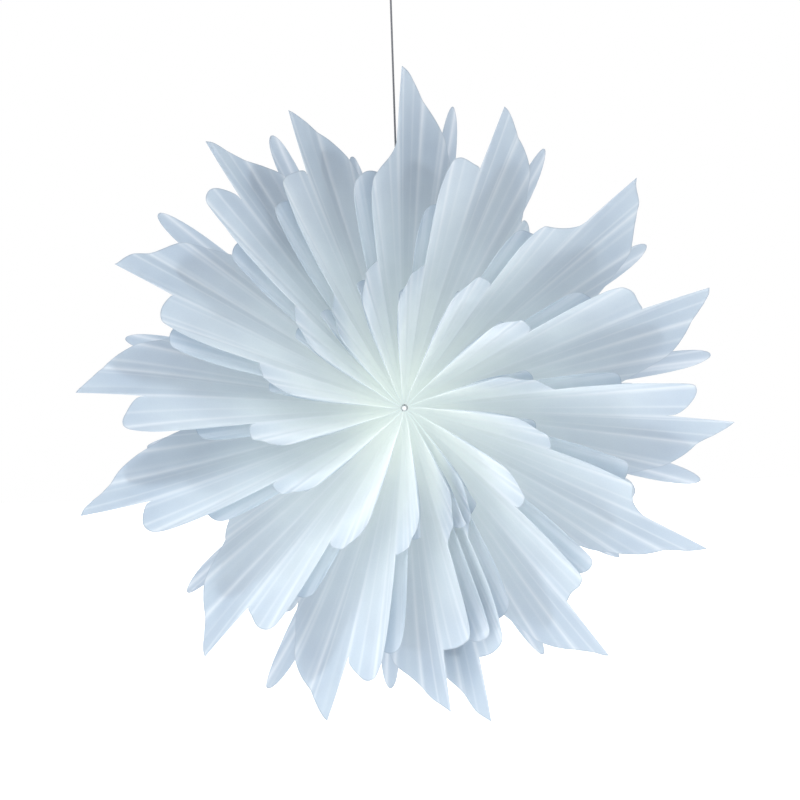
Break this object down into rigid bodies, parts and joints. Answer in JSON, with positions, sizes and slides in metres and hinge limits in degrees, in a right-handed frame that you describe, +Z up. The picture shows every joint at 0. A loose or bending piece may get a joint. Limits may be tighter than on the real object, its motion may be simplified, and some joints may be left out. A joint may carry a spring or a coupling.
{
  "type": "hanging paper star",
  "caption": "White hanging paper star: sixteen pleated leaves fanned round a bound spine, hung from a thin grey thread.",
  "frame": {"origin": "top of the hanging loop, where a hook holds the part up", "axes": "+Z up along the hanging thread; the star's spine runs along Y with its front towards -Y; +X to the right seen from the front"},
  "size_m": [0.5004, 0.2827, 0.5828],
  "materials": {
    "petal_paper": "matte",
    "rib_paper": "matte",
    "tab_paper": "matte",
    "white_cord": "matte",
    "grey_thread": "matte"
  },
  "bodies": {
    "hanger": {"hanging_loop": "grey_thread"},
    "thread_swing": {"loop_knot": "grey_thread", "hanging_thread": "grey_thread"},
    "spine": {"thread_tie": "grey_thread", "binding_cord": "white_cord", "front_knot": "white_cord", "back_knot": "white_cord", "petal_01": "petal_paper", "rib_01": "rib_paper"},
    "leaf_02": {"petal_02": "petal_paper", "rib_02": "rib_paper"},
    "leaf_03": {"petal_03": "petal_paper", "rib_03": "rib_paper"},
    "leaf_04": {"petal_04": "petal_paper", "rib_04": "rib_paper"},
    "leaf_05": {"petal_05": "petal_paper", "rib_05": "rib_paper"},
    "leaf_06": {"petal_06": "petal_paper", "rib_06": "rib_paper"},
    "leaf_07": {"petal_07": "petal_paper", "rib_07": "rib_paper"},
    "leaf_08": {"petal_08": "petal_paper", "rib_08": "rib_paper"},
    "leaf_09": {"petal_09": "petal_paper", "rib_09": "rib_paper"},
    "leaf_10": {"petal_10": "petal_paper", "rib_10": "rib_paper"},
    "leaf_11": {"petal_11": "petal_paper", "rib_11": "rib_paper"},
    "leaf_12": {"petal_12": "petal_paper", "rib_12": "rib_paper"},
    "leaf_13": {"petal_13": "petal_paper", "rib_13": "rib_paper"},
    "leaf_14": {"petal_14": "petal_paper", "rib_14": "rib_paper"},
    "leaf_15": {"petal_15": "petal_paper", "rib_15": "rib_paper"},
    "leaf_16": {"petal_16": "petal_paper", "rib_16": "rib_paper", "closing_tab": "tab_paper"}
  },
  "joints": [
    {"name": "loop_swing", "type": "hinge", "parent": "hanger", "child": "thread_swing", "pos_m": [0, 0, 0], "axis": [0, 1, 0], "range_deg": [-25, 25]},
    {"name": "thread_twist", "type": "hinge", "parent": "thread_swing", "child": "spine", "pos_m": [0, 0, -0.345], "axis": [0, 0, 1], "continuous": true},
    {"name": "leaf_02_fold", "type": "hinge", "parent": "spine", "child": "leaf_02", "pos_m": [0, 0, -0.345], "axis": [0, -1, 0], "range_deg": [0, 10.4]},
    {"name": "leaf_03_fold", "type": "hinge", "parent": "spine", "child": "leaf_03", "pos_m": [0, 0, -0.345], "axis": [0, -1, 0], "range_deg": [0, 29]},
    {"name": "leaf_04_fold", "type": "hinge", "parent": "spine", "child": "leaf_04", "pos_m": [0, 0, -0.345], "axis": [0, -1, 0], "range_deg": [0, 44.2]},
    {"name": "leaf_05_fold", "type": "hinge", "parent": "spine", "child": "leaf_05", "pos_m": [0, 0, -0.345], "axis": [0, -1, 0], "range_deg": [0, 60]},
    {"name": "leaf_06_fold", "type": "hinge", "parent": "spine", "child": "leaf_06", "pos_m": [0, 0, -0.345], "axis": [0, -1, 0], "range_deg": [0, 73.8]},
    {"name": "leaf_07_fold", "type": "hinge", "parent": "spine", "child": "leaf_07", "pos_m": [0, 0, -0.345], "axis": [0, -1, 0], "range_deg": [0, 91.4]},
    {"name": "leaf_08_fold", "type": "hinge", "parent": "spine", "child": "leaf_08", "pos_m": [0, 0, -0.345], "axis": [0, -1, 0], "range_deg": [0, 104.8]},
    {"name": "leaf_09_fold", "type": "hinge", "parent": "spine", "child": "leaf_09", "pos_m": [0, 0, -0.345], "axis": [0, -1, 0], "range_deg": [0, 105.8]},
    {"name": "leaf_10_fold", "type": "hinge", "parent": "spine", "child": "leaf_10", "pos_m": [0, 0, -0.345], "axis": [0, -1, 0], "range_deg": [0, 118.1]},
    {"name": "leaf_11_fold", "type": "hinge", "parent": "spine", "child": "leaf_11", "pos_m": [0, 0, -0.345], "axis": [0, -1, 0], "range_deg": [0, 135.2]},
    {"name": "leaf_12_fold", "type": "hinge", "parent": "spine", "child": "leaf_12", "pos_m": [0, 0, -0.345], "axis": [0, -1, 0], "range_deg": [0, 157.5]},
    {"name": "leaf_13_fold", "type": "hinge", "parent": "spine", "child": "leaf_13", "pos_m": [0, 0, -0.345], "axis": [0, -1, 0], "range_deg": [0, 173.3]},
    {"name": "leaf_14_fold", "type": "hinge", "parent": "spine", "child": "leaf_14", "pos_m": [0, 0, -0.345], "axis": [0, -1, 0], "range_deg": [0, 188.2]},
    {"name": "leaf_15_fold", "type": "hinge", "parent": "spine", "child": "leaf_15", "pos_m": [0, 0, -0.345], "axis": [0, -1, 0], "range_deg": [0, 205.2]},
    {"name": "leaf_16_fold", "type": "hinge", "parent": "spine", "child": "leaf_16", "pos_m": [0, 0, -0.345], "axis": [0, -1, 0], "range_deg": [0, 211.4]}
  ],
  "couplings": [
    {"joint": "leaf_02_fold", "follows": "leaf_16_fold", "ratio": 0.04872},
    {"joint": "leaf_03_fold", "follows": "leaf_16_fold", "ratio": 0.13671},
    {"joint": "leaf_04_fold", "follows": "leaf_16_fold", "ratio": 0.20861},
    {"joint": "leaf_05_fold", "follows": "leaf_16_fold", "ratio": 0.28335},
    {"joint": "leaf_06_fold", "follows": "leaf_16_fold", "ratio": 0.34863},
    {"joint": "leaf_07_fold", "follows": "leaf_16_fold", "ratio": 0.43188},
    {"joint": "leaf_08_fold", "follows": "leaf_16_fold", "ratio": 0.49527},
    {"joint": "leaf_09_fold", "follows": "leaf_16_fold", "ratio": 0.5},
    {"joint": "leaf_10_fold", "follows": "leaf_16_fold", "ratio": 0.55818},
    {"joint": "leaf_11_fold", "follows": "leaf_16_fold", "ratio": 0.63907},
    {"joint": "leaf_12_fold", "follows": "leaf_16_fold", "ratio": 0.74456},
    {"joint": "leaf_13_fold", "follows": "leaf_16_fold", "ratio": 0.8193},
    {"joint": "leaf_14_fold", "follows": "leaf_16_fold", "ratio": 0.88978},
    {"joint": "leaf_15_fold", "follows": "leaf_16_fold", "ratio": 0.9702}
  ]
}
